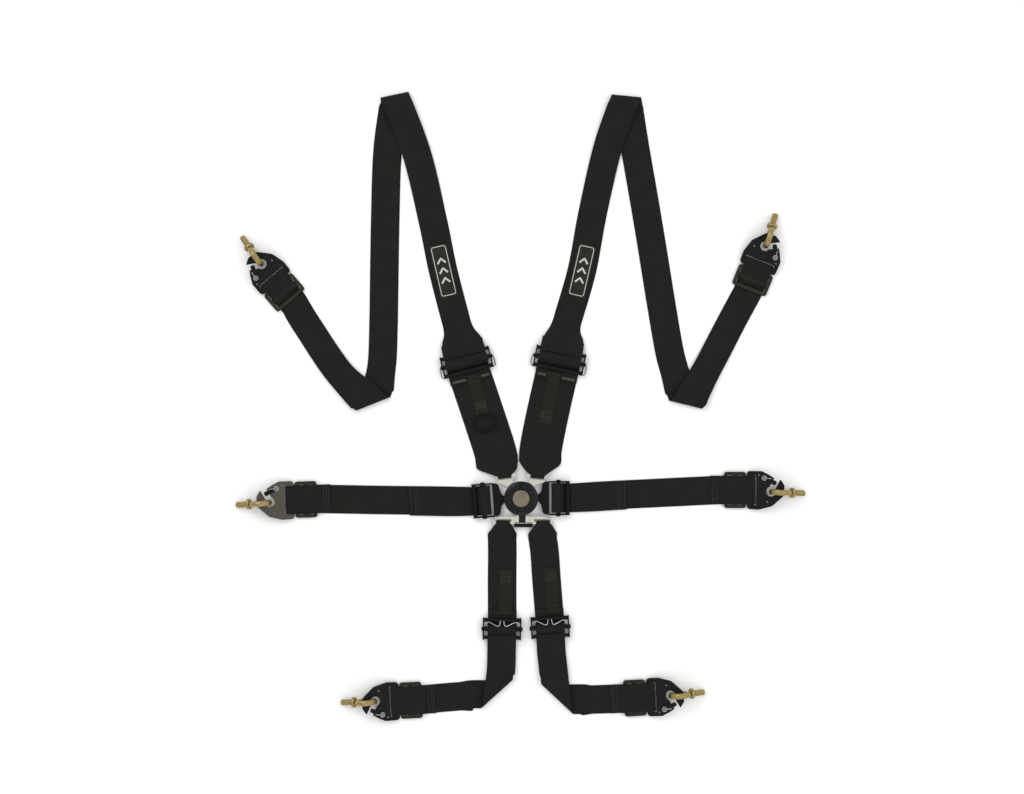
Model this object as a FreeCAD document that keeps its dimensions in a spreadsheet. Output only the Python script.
"""Six-point racing harness, laid out flat on a floor.

Frame: origin on the buckle's axis at floor level, +Y towards the shoulder straps, +X to the
right as seen from above, +Z up. Millimetres throughout.
"""
import FreeCAD, Part
import Sketcher
import math
import os

V = FreeCAD.Vector
UP = V(0, 0, 1)
os.makedirs("parts", exist_ok=True)
doc = FreeCAD.newDocument("RacingHarness")

# ---------------------------------------------------------------- driving dimensions
SIZES = {
    # webbing
    "webbing_thickness": 1.5, "lap_width": 52, "lower_shoulder_width": 77, "tongue_loop_width": 25,
    "tab_width": 24, "label_width": 32, "label_thickness": 0.6, "fold_radius": 4.5,
    # snap hook
    "hook_width": 69, "hook_plate": 3, "hook_length": 68, "hook_bar": 13, "hook_slot": 4,
    "hook_slot_length": 55, "eye_centre": 44, "eye_side": 2.5, "eye_radius": 9, "mouth_width": 11,
    "hook_tilt": 13, "hook_lift": 2.1, "gate_width": 8, "gate_plate": 2, "gate_pivot_u": 32,
    "gate_pivot_v": 22, "gate_length": 24, "gate_slant": 25, "rivet_radius": 1.8, "spring_wire": 0.5,
    # eyebolt, 7/16 inch shank
    "ring_radius": 16, "ring_section": 5, "ring_from_hook": 60.5, "ring_side": 3.5, "collar_radius": 9.5,
    "collar_length": 6, "shank_radius": 5.55, "shank_length": 22, "shank_tip": 1.5,
    # three-bar slider
    "slider_width": 66, "slider_length": 40, "slider_plate": 3.2, "slider_bar": 6,
    "slider_centre_bar": 8, "slider_slot_length": 54.6, "slider_lift": 1.8,
    # adjuster
    "grip_radius": 4.2, "grip_height": 7, "grip_travel": 2, "grip_pin": 2.4, "cap_radius": 4,
    "cap_length": 2, "ear_plate": 2.5, "ear_height": 10, "ear_bottom": 2.2, "outer_bar_p": -16.5,
    "outer_bar_radius": 3.4, "outer_bar_height": 8, "fixed_bar_p": 15.5, "fixed_bar_radius": 3.4,
    "ear_back": -20.5, "ear_front": 19.5, "shoulder_frame": 92, "crotch_frame": 70, "lap_frame": 62,
    "wrap_radius": 6.25, "wrap_near": 1.5, "wrap_far": 2.9, "lap_wrap_far": 5.9,
    "lap_grip_distance": 68, "lap_plate_start": 17.8, "lap_plate_end": 28,
    # buckle
    "base_radius": 30, "base_plate": 4, "housing_radius": 29, "housing_top": 17.4,
    "pin_circle": 22, "pin_radius": 3.2, "pin_travel": 4.8, "pin_gap": 0.1, "pin_bottom": 4.4,
    "pin_top": 12.8, "pin_hollow": 2.3, "tongue_bottom": 6, "tongue_plate": 3, "neck_width": 13,
    "slot_gap": 0.4, "post_radius": 4, "post_top": 25.2, "cam_radius": 27.5, "cam_bottom": 17.8,
    "cam_plate": 2.6, "knob_radius": 31, "knob_bottom": 17.8, "knob_top": 30, "knob_shoulder": 25.5,
    "knob_cavity": 28, "knob_cavity_top": 20.8, "tab_lever_width": 12, "tab_lever_reach": 44,
    "tab_lever_height": 6, "tab_lever_shift": 2, "cap_disc_radius": 15, "cap_disc_recess": 28.2, "cap_disc_top": 30.8,
    "tongue_slot": 5, "tongue_bar": 5, "tongue_half_width": 16.5, "tongue_inner": 6,
}
sheet = doc.addObject("Spreadsheet::Sheet", "Sizes")
for row, (alias, number) in enumerate(SIZES.items(), start=1):
    sheet.set("A%d" % row, alias)
    sheet.set("B%d" % row, str(number))
    sheet.setAlias("B%d" % row, alias)
doc.recompute()


class Size:
    """A length that carries its number and the spreadsheet expression that drives it."""

    def __init__(self, number, text):
        self.number = float(number)
        self.text = text

    def combine(self, other, sign, number):
        text = other.text if isinstance(other, Size) else repr(float(other))
        return Size(number, "(%s %s %s)" % (self.text, sign, text))

    def __add__(self, other):
        return self.combine(other, "+", self.number + float(other))

    def __sub__(self, other):
        return self.combine(other, "-", self.number - float(other))

    def __mul__(self, other):
        return self.combine(other, "*", self.number * float(other))

    def __truediv__(self, other):
        return self.combine(other, "/", self.number / float(other))

    def __neg__(self):
        return self * -1

    def __float__(self):
        return self.number


class Cells:
    """Reads the sheet: d.hook_width is the cell as a Size."""

    def __getattr__(self, alias):
        return Size(sheet.get(alias), "Sizes." + alias)


d = Cells()
THICK = float(d.webbing_thickness)
LAY = THICK / 2 + 0.02                     # middle of a strap that lies on the floor
TAIL = LAY + THICK + 0.3                   # and of one that lies on such a strap


def num(alias):
    return float(sheet.get(alias))


# ---------------------------------------------------------------- parametric helpers
nodes = {}


def bind(thing, prop, value):
    """Set a property, and drive it from the sheet when the value is a Size."""
    setattr(thing, prop, float(value))
    if isinstance(value, Size):
        thing.setExpression(prop, value.text)


def keep(label, thing, placement=None):
    """Name a finished sub-part and put it in its place."""
    thing.Label = label
    if placement is not None:
        thing.Placement = placement
    nodes[label] = thing
    return thing


def primitive(kind, place=None, **sizes):
    thing = doc.addObject("Part::" + kind, kind)
    for prop, value in sizes.items():
        bind(thing, prop, value)
    if place is not None:
        thing.Placement = place
    return thing


def fuse(*things):
    result = doc.addObject("Part::MultiFuse", "Fuse")
    result.Shapes = list(things)
    return result


def cut(base, *tools):
    result = doc.addObject("Part::Cut", "Cut")
    result.Base = base
    result.Tool = tools[0] if len(tools) == 1 else fuse(*tools)
    return result


def at(x, y, z, axis=UP, angle=0):
    return FreeCAD.Placement(V(float(x), float(y), float(z)), FreeCAD.Rotation(axis, angle))


def body():
    return doc.addObject("PartDesign::Body", "Body")


def sketch(owner, role="XY_Plane", lift=0):
    result = owner.newObject("Sketcher::SketchObject", "Sketch")
    plane = [f for f in owner.Origin.OriginFeatures if f.Role == role][0]
    result.AttachmentSupport = [(plane, "")]
    result.MapMode = "FlatFace"
    if lift:
        result.AttachmentOffset = at(0, 0, lift)
        if isinstance(lift, Size):
            result.setExpression("AttachmentOffset.Base.z", lift.text)
    return result


def constrain(shape, kind, where, value):
    index = shape.addConstraint(Sketcher.Constraint(kind, *where, float(value)))
    if isinstance(value, Size):
        shape.setExpression("Constraints[%d]" % index, value.text)


def outline(shape, corners):
    """A closed outline. Each corner is (x, y) or (x, y, radius), numbers or Sizes."""
    points = [V(float(c[0]), float(c[1]), 0) for c in corners]
    count = len(corners)
    starts, ends, arcs = [], [], []
    for i, corner in enumerate(corners):
        before = (points[i - 1] - points[i]).normalize()
        after = (points[(i + 1) % count] - points[i]).normalize()
        radius = float(corner[2]) if len(corner) > 2 else 0.0
        if radius == 0:
            ends.append(points[i])
            starts.append(points[i])
            arcs.append(None)
            continue
        half = before.getAngle(after) / 2
        reach = radius / math.tan(half)
        middle = points[i] + (before + after).normalize() * (radius / math.sin(half))
        first, last = points[i] + before * reach, points[i] + after * reach
        knee = middle + (points[i] - middle).normalize() * radius
        ends.append(first)
        starts.append(last)
        arcs.append(Part.Arc(first, knee, last))
    lines = [shape.addGeometry(Part.LineSegment(starts[i], ends[(i + 1) % count]))
             for i in range(count)]
    for i, corner in enumerate(corners):
        if arcs[i] is None:
            shape.addConstraint(Sketcher.Constraint("Coincident", lines[i - 1], 2, lines[i], 1))
            constrain(shape, "DistanceX", (-1, 1, lines[i], 1), corner[0])
            constrain(shape, "DistanceY", (-1, 1, lines[i], 1), corner[1])
            continue
        knee = shape.addGeometry(arcs[i])
        turning_left = (points[i] - points[i - 1]).cross(points[(i + 1) % count] - points[i]).z > 0
        begin, finish = (1, 2) if turning_left else (2, 1)
        shape.addConstraint(Sketcher.Constraint("Tangent", lines[i - 1], 2, knee, begin))
        shape.addConstraint(Sketcher.Constraint("Tangent", knee, finish, lines[i], 1))
        constrain(shape, "Radius", (knee,), corner[2])
        corner_point = shape.addGeometry(Part.Point(points[i]), True)
        shape.addConstraint(Sketcher.Constraint("PointOnObject", corner_point, 1, lines[i - 1]))
        shape.addConstraint(Sketcher.Constraint("PointOnObject", corner_point, 1, lines[i]))
        constrain(shape, "DistanceX", (-1, 1, corner_point, 1), corner[0])
        constrain(shape, "DistanceY", (-1, 1, corner_point, 1), corner[1])


def circle(shape, x, y, radius):
    ring = shape.addGeometry(Part.Circle(V(float(x), float(y), 0), UP, float(radius)))
    constrain(shape, "Radius", (ring,), radius)
    constrain(shape, "DistanceX", (-1, 1, ring, 3), x)
    constrain(shape, "DistanceY", (-1, 1, ring, 3), y)


def rectangle(x_low, y_low, x_high, y_high, *radius):
    return [(x_low, y_low) + radius, (x_high, y_low) + radius,
            (x_high, y_high) + radius, (x_low, y_high) + radius]


def pad(owner, shape, height):
    feature = owner.newObject("PartDesign::Pad", "Pad")
    feature.Profile = shape
    bind(feature, "Length", height)
    return feature


def through_pocket(owner, shape):
    feature = owner.newObject("PartDesign::Pocket", "Pocket")
    feature.Profile = shape
    feature.Type = "ThroughAll"
    feature.Midplane = True
    return feature


def group(label, shapes):
    """Several separate solids that share one node."""
    thing = doc.addObject("Part::Feature", label)
    thing.Shape = Part.makeCompound(shapes)
    return keep(label, thing)


def heading(angle):
    return V(math.cos(math.radians(angle)), math.sin(math.radians(angle)), 0)


# ---------------------------------------------------------------- webbing helpers
# A strap is a list of rulings, the straight lines across it: (centre, across, normal, width).
def plane_ruling(origin, along, distance, height, slope, width):
    """A ruling of a stretch that runs straight in plan, at a place in its side view."""
    across = UP.cross(along)
    normal = UP * math.cos(slope) - along * math.sin(slope)
    return (origin + along * distance + UP * height, across, normal, width)


def side_path(origin, along, steps, width, bend=2.2):
    """Rulings along a side view of corners (distance, height), each corner eased by an arc."""
    rulings = []
    places = [V(a, 0, b) for a, b in steps]
    for i, place in enumerate(places):
        if i in (0, len(places) - 1):
            other = places[1] - places[0] if i == 0 else places[-1] - places[-2]
            slope = math.atan2(other.z, other.x)
            rulings.append(plane_ruling(origin, along, place.x, place.z, slope, width))
            continue
        come, go = place - places[i - 1], places[i + 1] - place
        slope_in, slope_out = math.atan2(come.z, come.x), math.atan2(go.z, go.x)
        turn = (slope_out - slope_in + math.pi) % (2 * math.pi) - math.pi
        reach = min(bend * math.tan(abs(turn) / 2), 0.45 * come.Length, 0.45 * go.Length)
        for part in (0.0, 0.5, 1.0):
            first = place - come.normalize() * reach
            last = place + go.normalize() * reach
            spot = first * (1 - part) ** 2 + place * (2 * part * (1 - part)) + last * part ** 2
            slope = slope_in + turn * part
            rulings.append(plane_ruling(origin, along, spot.x, spot.z, slope, width))
    return rulings


def wrap(origin, along, centre, radius, start, stop, width, steps=10):
    """Rulings round a bar across the strap, from one angle of its side view to another."""
    across = UP.cross(along)
    rulings = []
    for i in range(steps + 1):
        turn = math.radians(start + (stop - start) * i / steps)
        out = along * math.cos(turn) + UP * math.sin(turn)
        place = origin + along * centre[0] + UP * centre[1] + out * radius
        rulings.append((place, across, out, width))
    return rulings


def smooth(points, spacing=28):
    """A curve through hand-set points (x, y, z, width), as evenly spaced samples."""
    rows = [points[0]] + list(points) + [points[-1]]
    samples = []
    for i in range(1, len(rows) - 2):
        p0, p1, p2, p3 = rows[i - 1:i + 3]
        length = math.dist(p1[:2], p2[:2])
        count = max(1, round(length / spacing))
        for k in range(count):
            f = k / count
            place = [0.5 * (2 * b + (c - a) * f + (2 * a - 5 * b + 4 * c - e) * f * f
                            + (3 * b - a - 3 * c + e) * f ** 3)
                     for a, b, c, e in zip(p0[:2], p1[:2], p2[:2], p3[:2])]
            ease = f * f * (3 - 2 * f)
            samples.append(place + [b + (c - b) * ease for b, c in zip(p1[2:], p2[2:])])
    samples.append(list(points[-1]))
    return samples


def leg(points):
    """Rulings of a free stretch, square to its own curve, without its two end rulings."""
    samples = smooth(points)
    rulings = []
    for before, here, after in zip(samples, samples[1:], samples[2:]):
        run = V(*after[:3]) - V(*before[:3])
        flat = V(run.x, run.y, 0).normalize()
        across = UP.cross(flat)
        normal = run.normalize().cross(across)
        rulings.append((V(*here[:3]), across, normal, here[3]))
    return rulings


def fold(place, line_angle, heading_in, top, bottom, width, steps=8):
    """A flat strap doubled over along a line, from the height top to the height bottom."""
    along = heading(heading_in)
    line = heading(line_angle)
    if line.dot(UP.cross(along)) < 0:
        line = line * -1
    out = line.cross(UP)
    skew = math.atan2(along.dot(line), along.dot(out))
    length = width / math.cos(skew)
    radius = abs(top - bottom) / 2
    axis = place - out * (radius + THICK / 2) + UP * ((top + bottom) / 2)
    down = 1 if top > bottom else -1
    rulings = []
    for i in range(steps + 1):
        turn = math.pi * i / steps
        lift = UP * (down * math.cos(turn))
        slide = line * (radius * (turn - math.pi / 2) * math.tan(skew))
        spot = axis + (out * math.sin(turn) + lift) * radius + slide
        rulings.append((spot, line, out * math.sin(turn) + lift, length))
    return rulings


def aligned(rulings):
    """The same rulings, each turned to face the way the one before it does."""
    result = [rulings[0]]
    for centre, across, normal, width in rulings[1:]:
        if across.dot(result[-1][1]) < 0:
            across = across * -1
        if normal.dot(result[-1][2]) < 0:
            normal = normal * -1
        result.append((centre, across, normal, width))
    return result


def strap_solid(rulings, thickness):
    """A closed solid through the rulings, thickness centred on them."""
    wires = []
    for centre, across, normal, width in aligned(rulings):
        side, lift = across * (width / 2), normal * (thickness / 2)
        corners = [centre - side - lift, centre + side - lift, centre + side + lift,
                   centre - side + lift]
        wires.append(Part.makePolygon(corners + corners[:1]))
    solid = Part.makeLoft(wires, True, True)
    return solid if solid.Volume > 0 else solid.reversed()


def strap(label, rulings, thickness=THICK):
    thing = doc.addObject("Part::Feature", label)
    thing.Shape = strap_solid(rulings, thickness)
    return keep(label, thing)


# ---------------------------------------------------------------- snap hook ends
# name: hook origin, strap heading, bolt heading, side of the mouth seen from above
HOOK_ENDS = {
    "shoulder_left": (V(-444.6, 390.5, 0), 130.5, 126, 1),
    "shoulder_right": (V(429.2, 416.6, 0), 68, 71, -1),
    "lap_left": (V(-413, -3.5, 0), 182, 185, -1),
    "lap_right": (V(411, 14.5, 0), 0, -3, 1),
    "crotch_left": (V(-222, -369, 0), 183, 184, 1),
    "crotch_right": (V(229, -362.5, 0), 3, 4, -1),
}


MOUTH_HEADING = 62            # from the hook's own axis


def hook_frame(name):
    """Placement of the tilted hook plate: x along it, outwards, z out of its upper face."""
    origin, angle, _, _ = HOOK_ENDS[name]
    turn = FreeCAD.Rotation(UP, angle)
    tilt = FreeCAD.Rotation(V(0, 1, 0), -num("hook_tilt"))
    return FreeCAD.Placement(origin + UP * num("hook_lift"), turn.multiply(tilt))


def hook_plate(name, side):
    """A flat hook: wide bar and slot for the strap, an eye, and a mouth to one side."""
    plate = body()
    profile = sketch(plate)
    half = d.hook_width / 2
    tip = d.hook_length
    corners = [(0, -half, 6), (22, -half - 1, 14), (46, -29, 14), (tip, -9, 10), (tip, 9, 7),
               (61, 20, 6), (51, 21, 2), (40, 28, 4), (27, half, 10), (0, half, 6)]
    outline(profile, [(c[0], -c[1] if side < 0 else c[1]) + tuple(c[2:]) for c in corners])
    pad(plate, profile, d.hook_plate)
    strap_slot = sketch(plate)
    slot_half = d.hook_slot_length / 2
    outline(strap_slot, rectangle(d.hook_bar, -slot_half, d.hook_bar + d.hook_slot, slot_half, 1.6))
    through_pocket(plate, strap_slot)
    eye = sketch(plate)
    circle(eye, d.eye_centre, -d.eye_side * side, d.eye_radius)
    through_pocket(plate, eye)
    mouth = sketch(plate)
    out = heading(MOUTH_HEADING * side)
    across = UP.cross(out) * (num("mouth_width") / 2)
    start = V(num("eye_centre"), 0, 0)
    far = start + out * 40
    quad = [start - across, far - across, far + across, start + across]
    outline(mouth, [(p.x, p.y) for p in quad])
    through_pocket(plate, mouth)
    rivet_hole = sketch(plate)
    circle(rivet_hole, d.gate_pivot_u, d.gate_pivot_v * side, d.rivet_radius + 0.05)
    through_pocket(plate, rivet_hole)
    keep("hook_plate_" + name, plate, hook_frame(name))


def gate_frame(name):
    """Placement of a gate: its rivet at the origin, x towards the nose, on the plate's upper face."""
    side = HOOK_ENDS[name][3]
    place = hook_frame(name)
    pivot = V(num("gate_pivot_u"), num("gate_pivot_v") * side, num("hook_plate") + 0.2)
    return FreeCAD.Placement(place.multVec(pivot),
                             place.Rotation.multiply(FreeCAD.Rotation(UP, -num("gate_slant") * side)))


def hook_gate(name):
    gate = body()
    profile = sketch(gate)
    half = d.gate_width / 2
    outline(profile, rectangle(-half, -half, d.gate_length, half, 2.9))
    pad(gate, profile, d.gate_plate)
    hole = sketch(gate)
    circle(hole, 0, 0, d.rivet_radius + 0.05)
    through_pocket(gate, hole)
    keep("hook_gate_" + name, gate, gate_frame(name))


def eyebolt_frame(name):
    """Placement of the eyebolt: ring centre at its origin, shank along x until it meets the floor."""
    side = HOOK_ENDS[name][3]
    base = hook_frame(name).multVec(V(num("ring_from_hook"), -num("ring_side") * side, 0))
    outer = num("ring_radius") + num("ring_section")
    reach = outer + num("collar_length") + num("shank_length") - num("shank_tip") - 1
    corner = math.hypot(reach, num("shank_radius"))
    dip = math.asin(outer / corner) - math.atan2(num("shank_radius"), reach)
    turn = FreeCAD.Rotation(UP, HOOK_ENDS[name][2])
    drop = FreeCAD.Rotation(V(0, 1, 0), math.degrees(dip))
    return FreeCAD.Placement(V(base.x, base.y, outer), turn.multiply(drop))


def eyebolt(name):
    along_x = FreeCAD.Rotation(V(0, 1, 0), 90)
    ring = primitive("Torus", FreeCAD.Placement(V(), FreeCAD.Rotation(V(1, 0, 0), 90)),
                     Radius1=d.ring_radius, Radius2=d.ring_section)
    start = num("ring_radius") + num("ring_section") - 1
    collar = primitive("Cylinder", FreeCAD.Placement(V(start, 0, 0), along_x),
                       Radius=d.collar_radius, Height=d.collar_length)
    end = start + num("collar_length")
    shank = primitive("Cylinder", FreeCAD.Placement(V(end, 0, 0), along_x),
                      Radius=d.shank_radius, Height=d.shank_length - d.shank_tip)
    end += num("shank_length") - num("shank_tip")
    tip = primitive("Cone", FreeCAD.Placement(V(end, 0, 0), along_x),
                    Radius1=d.shank_radius, Radius2=d.shank_radius - 1, Height=d.shank_tip)
    keep("eyebolt_" + name, fuse(ring, collar, shank, tip), eyebolt_frame(name))


def slider_shape():
    """The three-bar slider, its middle under the origin."""
    frame = body()
    profile = sketch(frame)
    half_length, half_width = d.slider_length / 2, d.slider_width / 2
    outline(profile, rectangle(-half_length, -half_width, half_length, half_width, 5))
    pad(frame, profile, d.slider_plate)
    inner = d.slider_centre_bar / 2
    outer = half_length - d.slider_bar
    slot = d.slider_slot_length / 2
    for low, high in ((-outer, -inner), (inner, outer)):
        opening = sketch(frame)
        outline(opening, rectangle(low, -slot, high, slot, 1.5))
        through_pocket(frame, opening)
    frame.Label = "slider_pattern"
    doc.recompute()
    return frame.Shape


def hook_end_rulings(name, width):
    """The strap from before the slider, over its middle bar, round the hook's bar and back."""
    origin, angle, _, _ = HOOK_ENDS[name]
    along = heading(angle)
    under = num("slider_lift") + num("slider_plate") + 0.3 + THICK / 2
    weave = side_path(origin, along, [(-47, LAY), (-34.5, LAY), (-28, under), (-16, under),
                                      (-9.5, LAY), (-2, LAY)], width, bend=2)
    tilt = math.radians(num("hook_tilt"))
    plate_along = along * math.cos(tilt) + UP * math.sin(tilt)
    plate_up = UP * math.cos(tilt) - along * math.sin(tilt)
    base = origin + UP * num("hook_lift")
    across = UP.cross(along)
    radius = num("hook_plate") / 2 + 0.5 + THICK / 2
    turn_at = num("hook_bar") - 0.9
    rulings = weave + [(base + plate_along * 3 - plate_up * (0.5 + THICK / 2), across, plate_up, width)]
    for i in range(11):
        angle_now = math.radians(-90 + 18 * i)
        out = plate_along * math.cos(angle_now) + plate_up * math.sin(angle_now)
        place = base + plate_along * turn_at + plate_up * (num("hook_plate") / 2) + out * radius
        rulings.append((place, across, out, width))
    back = base + plate_along * 3 + plate_up * (num("hook_plate") + 0.5 + THICK / 2)
    rulings.append((back, across, plate_up, width))
    over = under + THICK + 0.25
    steps = [(-3, under + 0.1), (-12, under + 0.1), (-17, over), (-28.5, over)]
    if not name.startswith("shoulder"):
        steps[3:] = [(-43.5, over), (-52, TAIL), (-67, TAIL)]
    return rulings + side_path(origin, along, steps, width, bend=1.5)


slider = slider_shape()
sliders, rivets, gate_springs = [], [], []
for end_name, (end_origin, end_angle, _, end_side) in HOOK_ENDS.items():
    hook_plate(end_name, end_side)
    hook_gate(end_name)
    eyebolt(end_name)
    copy = slider.copy()
    middle = end_origin - heading(end_angle) * (2 + num("slider_length") / 2)
    copy.Placement = at(middle.x, middle.y, num("slider_lift"), UP, end_angle)
    sliders.append(copy)
    frame_here = hook_frame(end_name)
    pivot = V(num("gate_pivot_u"), num("gate_pivot_v") * end_side, -0.8)
    tall = num("hook_plate") + num("gate_plate") + 0.3
    rivet = Part.makeCylinder(num("rivet_radius"), tall + 1.6, pivot, UP)
    for height in (0, tall + 0.9):
        rivet = rivet.fuse(Part.makeCylinder(num("rivet_radius") + 1.4, 0.7, pivot + UP * height, UP))
    rivets.append(rivet.transformGeometry(frame_here.toMatrix()))
    coil = num("spring_wire")
    ring_low = Part.makeTorus(num("rivet_radius") + 2.2, coil, pivot + UP * (tall + 1.6 - coil), UP)
    arm_from = pivot + V(num("rivet_radius") + 2.2, 0, tall + 1.6 - coil)
    arm = Part.makeCylinder(coil, 9, arm_from, V(1, -0.12 * end_side, 0))
    gate_springs.append(ring_low.fuse(arm).transformGeometry(frame_here.toMatrix()))
group("strap_sliders", sliders)
group("gate_rivets", rivets)
group("gate_springs", gate_springs)


# ---------------------------------------------------------------- adjusters
# name: place of the grip bar, direction from the strap side to the wrapped side, frame width
ADJUSTERS = {
    "shoulder_left": (V(-99, 247, 0), 104.3, "shoulder_frame"),
    "shoulder_right": (V(70, 250.8, 0), 78.7, "shoulder_frame"),
    "crotch_left": (V(-34.6, -238, 0), -91, "crotch_frame"),
    "crotch_right": (V(52.8, -235, 0), -87, "crotch_frame"),
    "lap_left": (heading(184) * num("lap_grip_distance"), 4, "lap_frame"),
    "lap_right": (heading(0) * num("lap_grip_distance"), 180, "lap_frame"),
}


def across_y(x, y, z):
    """Placement that turns a cylinder's axis from z to y."""
    return FreeCAD.Placement(V(float(x), float(y), float(z)), FreeCAD.Rotation(V(1, 0, 0), -90))


def ears(width, front):
    """Two upright side plates with the slots that the grip bar's pins slide in."""
    plates = []
    tall = d.ear_height
    for side in (-1, 1):
        inner = width / 2 - d.ear_plate if side > 0 else -width / 2
        plate = primitive("Box", at(d.ear_back, inner, d.ear_bottom), Height=tall,
                          Length=front - d.ear_back, Width=d.ear_plate)
        pin = d.grip_pin + 0.1
        low = d.grip_height - pin
        slot = primitive("Box", at(0, inner - 1, low), Length=d.grip_travel,
                         Width=d.ear_plate + 2, Height=pin * 2)
        ends = [primitive("Cylinder", across_y(x, inner - 1, d.grip_height), Radius=pin,
                          Height=d.ear_plate + 2) for x in (0, num("grip_travel"))]
        plates.append(cut(plate, slot, *ends))
    return plates


def cross_bar(distance, height, radius, width):
    return primitive("Cylinder", across_y(distance, -(width / 2) + 1, height), Radius=radius,
                     Height=width - 2)


def adjuster_frame(name):
    origin, angle, width_name = ADJUSTERS[name]
    width = Size(num(width_name), "Sizes." + width_name)
    pieces = ears(width, d.ear_front)
    pieces.append(cross_bar(d.outer_bar_p, d.outer_bar_height, d.outer_bar_radius, width))
    pieces.append(cross_bar(d.fixed_bar_p, d.grip_height, d.fixed_bar_radius, width))
    keep("adjuster_frame_" + name, fuse(*pieces), at(origin.x, origin.y, 0, UP, angle))


def lap_tongue(name):
    """Lap tongue and adjuster in one: neck, wide plate, two ears and the knurled outer bar."""
    origin, angle, _ = ADJUSTERS[name]
    width = d.lap_frame
    start, front = d.lap_plate_start, d.lap_plate_end
    pieces = ears(width, start)
    pieces.append(cross_bar(d.outer_bar_p, d.outer_bar_height, d.outer_bar_radius, width))
    plate = body()
    profile = sketch(plate, lift=d.tongue_bottom)
    half, neck = width / 2, d.neck_width / 2
    tip = d.lap_grip_distance - d.pin_circle
    outline(profile, [(start - 1, -half + 1), (front, -half + 1, 8), (front + 4, -neck - 5, 3),
                      (front + 8, -neck, 3), (tip + neck, -neck, neck - 0.1),
                      (tip + neck, neck, neck - 0.1), (front + 8, neck, 3),
                      (front + 4, neck + 5, 3), (front, half - 1, 8), (start - 1, half - 1)])
    pad(plate, profile, d.tongue_plate)
    hole = sketch(plate)
    circle(hole, tip, 0, d.pin_radius + 0.15)
    through_pocket(plate, hole)
    pieces.append(plate)
    keep("lap_tongue_" + name.split("_")[1], fuse(*pieces), at(origin.x, origin.y, 0, UP, angle))


def grip_bar(name):
    origin, angle, width_name = ADJUSTERS[name]
    width = Size(num(width_name), "Sizes." + width_name)
    inside = width / 2 - d.ear_plate - 0.3
    height = d.grip_height
    pieces = [primitive("Cylinder", across_y(0, -inside, height), Radius=d.grip_radius,
                        Height=inside * 2)]
    end = width / 2 + 0.3
    pieces.append(primitive("Cylinder", across_y(0, -end, height), Radius=d.grip_pin,
                            Height=end * 2))
    for start in (end, -end - d.cap_length):
        pieces.append(primitive("Cylinder", across_y(0, start, height), Radius=d.cap_radius,
                                Height=d.cap_length))
    keep("grip_bar_" + name, fuse(*pieces), at(origin.x, origin.y, 0, UP, angle))


def adjuster_wrap(name, width):
    """The strap over the grip bar: from the free end's side, round the bar, back underneath."""
    origin, angle, _ = ADJUSTERS[name]
    along = heading(angle)
    radius, middle = num("wrap_radius"), (num("wrap_near"), num("grip_height"))
    far = num("lap_wrap_far" if name.startswith("lap") else "wrap_far")
    foot = middle[0] - (middle[1] + radius * math.sqrt(2) - TAIL)
    climb = side_path(origin, along, [(-22, TAIL), (foot, TAIL),
                                      (foot + 6, TAIL + 6)], width, bend=3)
    round_bar = wrap(origin, along, middle, radius, 135, 90, width, 3)
    round_bar += wrap(origin, along, (far, middle[1]), radius, 90, -90, width, 10)
    return climb + round_bar + [plane_ruling(origin, along * -1, 22, LAY, 0, width)]


def fixed_wrap(name, width):
    """The anchor strap's own loop round the fixed bar, ending in its upper layer."""
    origin, angle, _ = ADJUSTERS[name]
    along = heading(angle)
    radius = num("fixed_bar_radius") + 0.4 + THICK / 2
    middle = (num("fixed_bar_p"), num("grip_height"))
    low = middle[1] - radius
    back = [plane_ruling(origin, along * -1, -distance, low, 0, width) for distance in (38, 24)]
    return back + wrap(origin, along, middle, radius, -90, -270, width, 10)


adjuster_springs = []
for adjuster_name, (place, angle, width_name) in ADJUSTERS.items():
    grip_bar(adjuster_name)
    if adjuster_name.startswith("lap"):
        lap_tongue(adjuster_name)
        continue
    adjuster_frame(adjuster_name)
    here = at(place.x, place.y, 0, UP, angle)
    wire = 0.7
    half = num(width_name) / 2 + 1.2
    for side in (-1, 1):
        path = [V(-18, side * half, 5), V(-12, side * (half + 4), 4), V(-6, side * half, 5)]
        rods = [Part.makeCylinder(wire, (b - a).Length, a, b - a) for a, b in zip(path, path[1:])]
        knot = Part.makeSphere(wire, path[1])
        adjuster_springs.append(rods[0].fuse([rods[1], knot]).transformGeometry(here.toMatrix()))
group("adjuster_springs", adjuster_springs)


# ---------------------------------------------------------------- buckle
TONGUE_ANGLES = {"shoulder_left": 128, "shoulder_right": 56, "lap_left": 184, "lap_right": 0,
                 "crotch": 270}
LATCHED = ("shoulder_left", "shoulder_right", "lap_right", "crotch")
SCREW_ANGLES = (91, 225, 315)
SCREW_CIRCLE = 24
SCREW_RADIUS = 1.5


def disc(radius, low, high):
    return primitive("Cylinder", at(0, 0, low), Radius=radius, Height=high - low)


def base_plate():
    plate = body()
    profile = sketch(plate)
    circle(profile, 0, 0, d.base_radius)
    pad(plate, profile, d.base_plate)
    screws = sketch(plate)
    for angle in SCREW_ANGLES:
        out = heading(angle) * SCREW_CIRCLE
        circle(screws, out.x, out.y, SCREW_RADIUS + 0.05)
    through_pocket(plate, screws)
    post = sketch(plate)
    circle(post, 0, 0, d.post_radius + 0.05)
    through_pocket(plate, post)
    keep("buckle_base_plate", plate)


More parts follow.
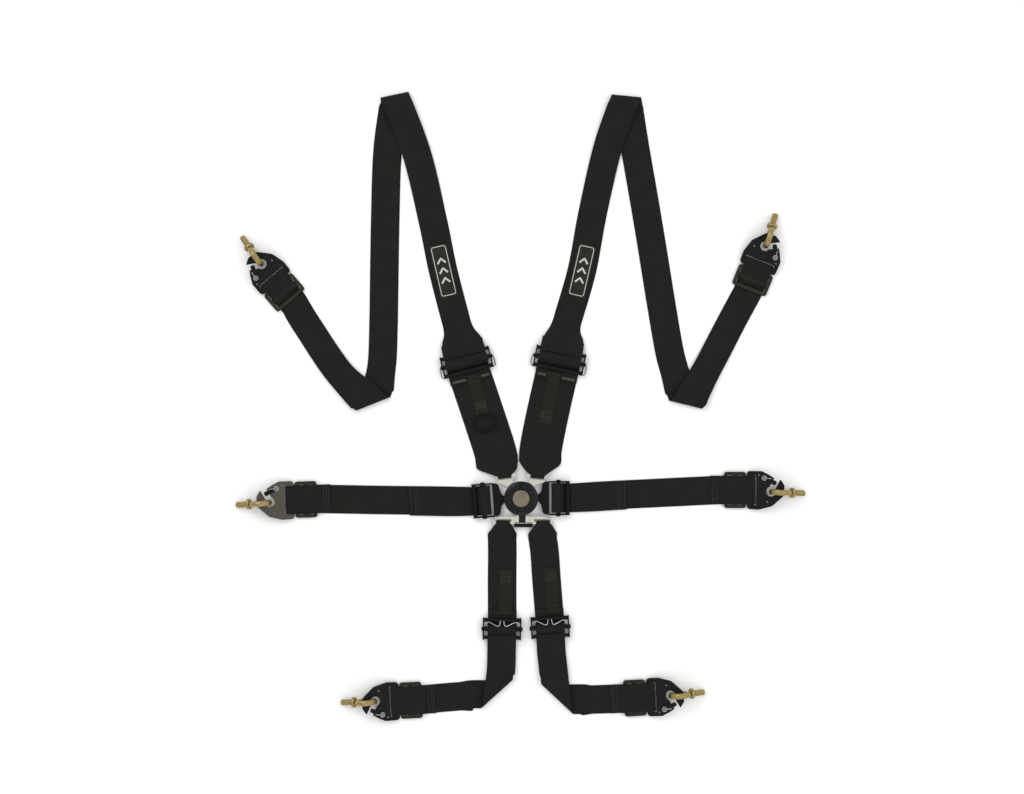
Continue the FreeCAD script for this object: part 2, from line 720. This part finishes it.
def housing():
    block = disc(d.housing_radius, d.base_plate + 0.02, d.housing_top)
    tools = [primitive("Cylinder", at(0, 0, 0), Radius=d.post_radius + 0.05, Height=40)]
    gap = d.slot_gap
    half = d.neck_width / 2 + gap
    for name, angle in TONGUE_ANGLES.items():
        out = heading(angle)
        side = UP.cross(out)
        corner = out * num("pin_circle") - side * float(half)
        slot = primitive("Box", at(corner.x, corner.y, d.tongue_bottom - gap, UP, angle), Length=20,
                         Width=half * 2, Height=d.tongue_plate + gap * 2)
        centre = out * num("pin_circle")
        low = at(centre.x, centre.y, d.tongue_bottom - gap)
        end = primitive("Cylinder", low, Radius=half, Height=d.tongue_plate + gap * 2)
        bore = primitive("Cylinder", at(centre.x, centre.y, 0), Height=40,
                         Radius=d.pin_radius + d.pin_gap / 2)
        tools += [slot, end, bore]
    for angle in SCREW_ANGLES:
        out = heading(angle) * SCREW_CIRCLE
        tools.append(primitive("Cylinder", at(out.x, out.y, 0), Radius=SCREW_RADIUS + 0.05, Height=13))
    keep("buckle_housing", cut(block, *tools))


def screws_and_post():
    """The centre post and three screws from below."""
    shapes = [Part.makeCylinder(num("post_radius"), num("post_top"), V(0, 0, 0.3), UP)]
    for angle in SCREW_ANGLES:
        out = heading(angle) * SCREW_CIRCLE + UP * 0.3
        shapes.append(Part.makeCylinder(SCREW_RADIUS, 11, out, UP))
    out = heading(TONGUE_ANGLES["lap_left"]) * num("pin_circle")
    fixed = Part.makeCylinder(num("pin_radius"), num("pin_top") - num("pin_bottom"),
                              out + UP * num("pin_bottom"), UP)
    group("buckle_screws_and_post", shapes + [fixed])


def latch_pin(name):
    out = heading(TONGUE_ANGLES[name]) * num("pin_circle")
    pin = primitive("Cylinder", at(out.x, out.y, d.pin_bottom), Radius=d.pin_radius,
                    Height=d.pin_top - d.pin_bottom)
    hollow = primitive("Cylinder", at(out.x, out.y, d.pin_bottom + 4.5), Radius=d.pin_hollow,
                       Height=20)
    keep("latch_pin_" + name, cut(pin, hollow))


def coil_spring(x, y, low, high, radius, wire, turns):
    path = Part.makeHelix((high - low) / turns, high - low, radius)
    profile = Part.Wire([Part.makeCircle(wire, V(radius, 0, 0), V(0, 1, 0))])
    spring = Part.Wire(path).makePipeShell([profile], True, True)
    spring.translate(V(x, y, low))
    return spring


def springs():
    shapes = []
    for name in LATCHED:
        out = heading(TONGUE_ANGLES[name]) * num("pin_circle")
        shapes.append(coil_spring(out.x, out.y, num("pin_bottom") + 5, 16.9, 1.7, 0.28, 6))
    shapes.append(coil_spring(0, 0, 21.6, 24.6, 6.2, 0.5, 2))
    group("buckle_springs", shapes)


def knob():
    outer = disc(d.knob_radius, d.knob_bottom, d.knob_shoulder)
    crown = primitive("Cone", at(0, 0, d.knob_shoulder), Radius1=d.knob_radius,
                      Radius2=d.knob_radius - 8, Height=d.knob_top - d.knob_shoulder)
    half = d.tab_lever_width / 2
    lever = primitive("Box", at(d.tab_lever_shift - half, -d.tab_lever_reach, 19), Width=d.tab_lever_reach - 16,
                      Length=d.tab_lever_width, Height=d.tab_lever_height)
    cavity = disc(d.knob_cavity, d.knob_bottom - 1, d.knob_cavity_top)
    well = disc(7.2, d.knob_cavity_top - 1, d.knob_cavity_top + 5)
    recess = disc(d.cap_disc_radius + 0.1, d.cap_disc_recess, d.knob_top + 5)
    keep("release_knob", cut(fuse(outer, crown, lever), cavity, well, recess))


def cam_disc():
    plate = disc(d.cam_radius, d.cam_bottom, d.cam_bottom + d.cam_plate)
    hole = disc(d.post_radius + 0.06, d.cam_bottom - 1, d.cam_bottom + 10)
    keep("cam_disc", cut(plate, hole))


def shoulder_tongue(name):
    """Neck with a latch hole, then a head turned square to the strap, with the loop's slot."""
    tongue = body()
    profile = sketch(tongue, lift=d.tongue_bottom)
    neck, half = d.neck_width / 2, num("tongue_half_width")
    tip = d.pin_circle - neck
    spread = num("tongue_slot") / 2 + num("tongue_bar")

    def head(x, y):
        place = V(*HEAD_CENTRE[name], 0) + heading(HEAD_ANGLE[name]) * x \
            + UP.cross(heading(HEAD_ANGLE[name])) * y
        place = FreeCAD.Rotation(UP, -TONGUE_ANGLES[name]).multVec(place)
        return (place.x, place.y)

    right, left = (half, half + num("tongue_inner")) if name == "shoulder_right" else (
        half + num("tongue_inner"), half)
    near, narrow = spread - 2, half - 3
    corners = [(tip, -neck, neck - 0.1), (31, -neck, 3), head(-near, -narrow) + (3,),
               head(spread, -right) + (3,), head(spread, left) + (3,),
               head(-near, narrow) + (3,), (31, neck, 3), (tip, neck, neck - 0.1)]
    outline(profile, corners)
    pad(tongue, profile, d.tongue_plate)
    slot = sketch(tongue)
    reach, length = num("tongue_slot") / 2, half - 2.5
    outline(slot, [head(-reach, -length), head(reach, -length), head(reach, length),
                   head(-reach, length)])
    through_pocket(tongue, slot)
    hole = sketch(tongue)
    circle(hole, d.pin_circle, 0, d.pin_radius + 0.15)
    through_pocket(tongue, hole)
    keep("shoulder_tongue_" + name.split("_")[1], tongue, at(0, 0, 0, UP, TONGUE_ANGLES[name]))


HEAD_CENTRE = {"shoulder_left": (-29.5, 36), "shoulder_right": (29.5, 36)}
HEAD_ANGLE = {"shoulder_left": 98, "shoulder_right": 84}
CROTCH_LOOPS = (-32.5, 38.5)   # middle of each loop slot in the crotch tongue
CROTCH_SLOT_Y = -38         # upper side of those slots
ROD_ENDS = (-12.5, 21)      # the rod across its lower edge, between the loops
ROD_RADIUS = 2.4


def crotch_tongue():
    """One neck, a wide head with a loop slot at each side, and a rod across its lower edge."""
    tongue = body()
    profile = sketch(tongue, lift=d.tongue_bottom)
    neck = d.neck_width / 2
    top = d.pin_circle - neck
    outline(profile, [(-neck, -top, neck - 0.1), (neck, -top, neck - 0.1), (neck, -33, 3),
                      (41, -33, 3), (57, -39, 3), (55, -48, 3), (23, -48, 2), (19, -44, 2),
                      (-10, -44, 2), (-14, -48, 2), (-49, -48, 3), (-51, -39, 3), (-36, -33, 3),
                      (-neck, -33, 3)])
    pad(tongue, profile, d.tongue_plate)
    for middle in CROTCH_LOOPS:
        slot = sketch(tongue)
        outline(slot, rectangle(middle - 15, CROTCH_SLOT_Y - 5, middle + 15, CROTCH_SLOT_Y, 2))
        through_pocket(tongue, slot)
    hole = sketch(tongue)
    circle(hole, 0, -d.pin_circle, d.pin_radius + 0.15)
    through_pocket(tongue, hole)
    rod = primitive("Cylinder", FreeCAD.Placement(V(ROD_ENDS[0], -50, num("tongue_bottom") + 1.5),
                                                  FreeCAD.Rotation(V(0, 1, 0), 90)),
                    Radius=ROD_RADIUS, Height=ROD_ENDS[1] - ROD_ENDS[0])
    keep("crotch_tongue", fuse(tongue, rod))


def tongue_loop(origin, angle, edge, approach):
    """A strap's end: in over a tongue's bar, down through its slot and back underneath.

    edge is the distance from origin to the bar, and approach lists the last stations before it
    as (distance, offset to the left, height, slope, width).
    """
    along = heading(angle)
    middle = (edge + 0.9, num("tongue_bottom") + num("tongue_plate") / 2)
    radius = num("tongue_plate") / 2 + 0.6 + THICK / 2
    low = middle[1] - radius
    left = UP.cross(along)
    inward = [plane_ruling(origin + left * offset, along, x, z, slope, width)
              for x, offset, z, slope, width in approach]
    around = wrap(origin, along, middle, radius, 90, 270, NARROW, 8)
    outward = [plane_ruling(origin, along, edge + 6.5, low - 0.2, -0.1, NARROW),
               plane_ruling(origin, along, edge + 15, 2.8, -0.3, NARROW)]
    return inward + around + outward


base_plate()
housing()
screws_and_post()
for latch in LATCHED:
    latch_pin(latch)
springs()
knob()
cam_disc()
keep("centre_cap", disc(d.cap_disc_radius, d.cap_disc_recess + 0.02, d.cap_disc_top))
shoulder_tongue("shoulder_left")
shoulder_tongue("shoulder_right")
crotch_tongue()


# ---------------------------------------------------------------- straps
LAP = num("lap_width")
WIDE = num("lower_shoulder_width")
NARROW = num("tongue_loop_width")
RAISED = LAY + 2 * num("fold_radius")


def apart(ruling, other):
    """True where a ruling is far enough from another not to cross it inside the strap."""
    centre, across, _, width = ruling
    skew = min(across.getAngle(other[1]), math.pi - across.getAngle(other[1]))
    return centre.distanceToPoint(other[0]) > width / 2 * math.tan(skew) + 5


def join(*stretches):
    """Chain stretches of rulings; a list of plain points between two of them is a free leg."""
    chain = []
    for i, stretch in enumerate(stretches):
        if isinstance(stretch[0][0], V):
            chain += stretch
            continue
        behind, ahead = chain[-1], stretches[i + 1][0]
        rulings = leg([spot(behind)] + list(stretch) + [spot(ahead)])
        chain += [r for r in rulings if apart(r, behind) and apart(r, ahead)]
    return chain


def spot(ruling):
    """The (x, y, z, width) of a ruling, to start or end a free stretch there."""
    centre, across, _, width = ruling
    return (centre.x, centre.y, centre.z, min(width, WIDE))


def tail_end(name, length, width, shift=0):
    """The free end's hem, length mm out from the adjuster and shifted sideways."""
    origin, angle, _ = ADJUSTERS[name]
    along = heading(angle)
    across = UP.cross(along)
    return [(origin - along * length + across * shift + UP * TAIL, across, UP, width)]


def lap_strap(side, tail_length, shift, points):
    name = "lap_" + side
    strap("lap_strap_" + side, join(tail_end(name, tail_length, LAP, shift),
                                    adjuster_wrap(name, LAP), points,
                                    hook_end_rulings(name, LAP)))


def adjustable(label, name, width, tail_length, points, loop):
    """A strap from its hem, round the adjuster's grip bar, and on to the buckle's tongue."""
    strap(label, join(tail_end(name, tail_length, width), adjuster_wrap(name, width), points, loop))


def anchored(label, name, width, *stretches):
    """A strap from its loop on the adjuster's fixed bar to its slider and snap hook."""
    strap(label, join(fixed_wrap(name, width), *stretches, hook_end_rulings(name, LAP)))


def beyond(name, *steps):
    """Points straight out of an adjuster's far side: (distance, height, width) each."""
    origin, angle, _ = ADJUSTERS[name]
    places = [(origin + heading(angle) * step[0], step) for step in steps]
    return [(place.x, place.y, step[1], step[2]) for place, step in places]


lap_strap("left", 136, 8, [(-150, -5, LAY, LAP), (-250, -4, LAY, LAP)])
lap_strap("right", 124, -5, [(150, 4, LAY, LAP), (250, 9, LAY, LAP)])

CROTCH_APPROACH = ((73, -1.8, 1.0, -0.15, LAP), (65, -1.6, 3.8, -0.4, LAP),
                   (57, -0.8, 7.4, -0.35, 42), (50, -0.2, 9.75, -0.25, 33))
SHOULDER_APPROACH = {
    "left": ((31, 10, 2.3, -0.2, WIDE), (24.5, 10.5, 4.2, -0.29, WIDE - 2),
             (12, 2.6, 8.7, -0.29, 50), (7.5, 0.6, 10, -0.2, 36)),
    "right": ((33, -1.7, 1.8, -0.2, WIDE), (28.5, -1.2, 3.1, -0.29, WIDE - 2),
              (16, 1, 7.2, -0.29, 52), (8, 1.4, 10, -0.2, 35)),
}


def shoulder_loop(side):
    name = "shoulder_" + side
    return tongue_loop(V(*HEAD_CENTRE[name], 0), HEAD_ANGLE[name], num("tongue_slot") / 2,
                       SHOULDER_APPROACH[side])


def crotch_loop(middle, angle):
    return tongue_loop(V(middle, 0, 0), angle, -CROTCH_SLOT_Y + 5, CROTCH_APPROACH)


adjustable("shoulder_lower_left", "shoulder_left", WIDE, 36,
           [(-71.5, 160, LAY, WIDE), (-54.3, 108, LAY, WIDE), (-46.4, 82, LAY, WIDE)],
           shoulder_loop("left"))
adjustable("shoulder_lower_right", "shoulder_right", WIDE, 36,
           [(50, 160, LAY, WIDE), (39.2, 108, LAY, WIDE), (35.2, 82, LAY, WIDE)],
           shoulder_loop("right"))
adjustable("crotch_upper_left", "crotch_left", LAP, 34,
           [(-34.4, -150, LAY, LAP), (-34, -100, LAY, LAP)], crotch_loop(CROTCH_LOOPS[0], -90))
adjustable("crotch_upper_right", "crotch_right", LAP, 34,
           [(46.5, -150, LAY, LAP), (43, -100, LAY, LAP)], crotch_loop(CROTCH_LOOPS[1], -88))

# each free leg is set by a few places on its middle line: (x, y, z, width)
anchored("shoulder_upper_left", "shoulder_left", WIDE,
         beyond("shoulder_left", (30, 7.6, WIDE), (46, 4.6, WIDE - 10), (70, LAY, LAP))
         + [(-142, 414.6, LAY, LAP), (-160, 502, LAY, LAP), (-189, 624, 4.5, LAP)],
         fold(V(-230, 733, 0), 11.9, 108, RAISED, LAY, LAP),
         [(-242.8, 631, LAY, LAP), (-247.2, 500, LAY, LAP), (-250.4, 305, LAY, LAP),
          (-254, 236, LAY, LAP)],
         fold(V(-268, 171, 0), 22, -104, LAY, RAISED, LAP),
         [(-330.5, 227.9, 4.5, LAP), (-388, 312, LAY, LAP)])
anchored("shoulder_upper_right", "shoulder_right", WIDE,
         beyond("shoulder_right", (30, 7.6, WIDE), (46, 4.6, WIDE - 10), (70, LAY, LAP))
         + [(111, 414.6, LAY, LAP), (130.1, 516.7, LAY, LAP), (158, 638, 4.5, LAP)],
         fold(V(191.8, 730.9, 0), -5.4, 71, RAISED, LAY, LAP),
         [(207, 640, LAY, LAP), (231.1, 500.3, LAY, LAP), (265.2, 292.7, LAY, LAP),
          (279, 232, LAY, LAP)],
         fold(V(298.9, 169.4, 0), -14, -74, LAY, RAISED, LAP),
         [(341, 240, 4.5, LAP), (384, 322, LAY, LAP)])
anchored("crotch_lower_left", "crotch_left", LAP,
         beyond("crotch_left", (30, 7.6, LAP), (46, 6, LAP)) + [(-36.5, -315, 8, LAP)],
         fold(V(-44, -357, 0), 42, -94, RAISED, LAY, LAP),
         [(-110, -361, LAY, LAP)])
anchored("crotch_lower_right", "crotch_right", LAP,
         beyond("crotch_right", (30, 7.6, LAP), (46, 6, LAP)) + [(59, -315, 8, LAP)],
         fold(V(66, -366, 0), -43, -85.5, RAISED, LAY, LAP),
         [(130, -367, LAY, LAP)])


# ---------------------------------------------------------------- labels and pull tabs
def label_patch(x, y, angle, length, width):
    along = heading(angle) * (length / 2)
    height = LAY + THICK / 2 + 0.45
    ends = [(x - along.x, y - along.y, height, width), (x + along.x, y + along.y, height, width)]
    rulings = [plane_ruling(V(e[0], e[1], 0), heading(angle), 0, height, 0, width) for e in ends]
    return strap_solid(rulings, num("label_thickness"))


def pull_tab(name, shift, length, width, ring=False):
    """A tape sewn on the hem of the strap's free end, lying on the strap below it."""
    origin, angle, _ = ADJUSTERS[name]
    out = heading(angle) * -1
    side = UP.cross(heading(angle)) * shift
    rulings = side_path(origin + side, out, [(24, TAIL + 1.7), (39, TAIL + 1.7),
                                             (46, LAY + 1.7), (length, LAY + 1.7)], width, bend=4)
    shapes = [strap_solid(rulings, 1.0)]
    if ring:
        middle = origin + side + out * (length + 19) + UP * (LAY + THICK + 1.4)
        shapes.append(Part.makeTorus(17, 1.4, middle, UP))
    return shapes


group("strap_labels", [label_patch(-141, 413, 103, 96, num("label_width")),
                       label_patch(110.5, 413, 77, 96, num("label_width"))])
tab = num("tab_width")
group("pull_tabs", pull_tab("shoulder_left", -5, 100, tab, ring=True)
      + pull_tab("shoulder_right", 4, 120, tab)
      + pull_tab("crotch_left", 5, 108, tab) + pull_tab("crotch_right", 6, 108, tab))


# ---------------------------------------------------------------- checks and export
doc.recompute()
for thing in doc.Objects:
    if "Invalid" in thing.State or "Error" in thing.State:
        raise RuntimeError("failed: %s %s" % (thing.Label, thing.State))
for label, thing in nodes.items():
    if thing.Shape.isNull() or not thing.Shape.isValid():
        raise RuntimeError("bad shape: " + label)
    thing.Shape.exportStep("parts/%s.step" % label)
    print("%-28s %8.0f mm3 in %d solids" % (label, thing.Shape.Volume, len(thing.Shape.Solids)))
print(len(nodes), "nodes")
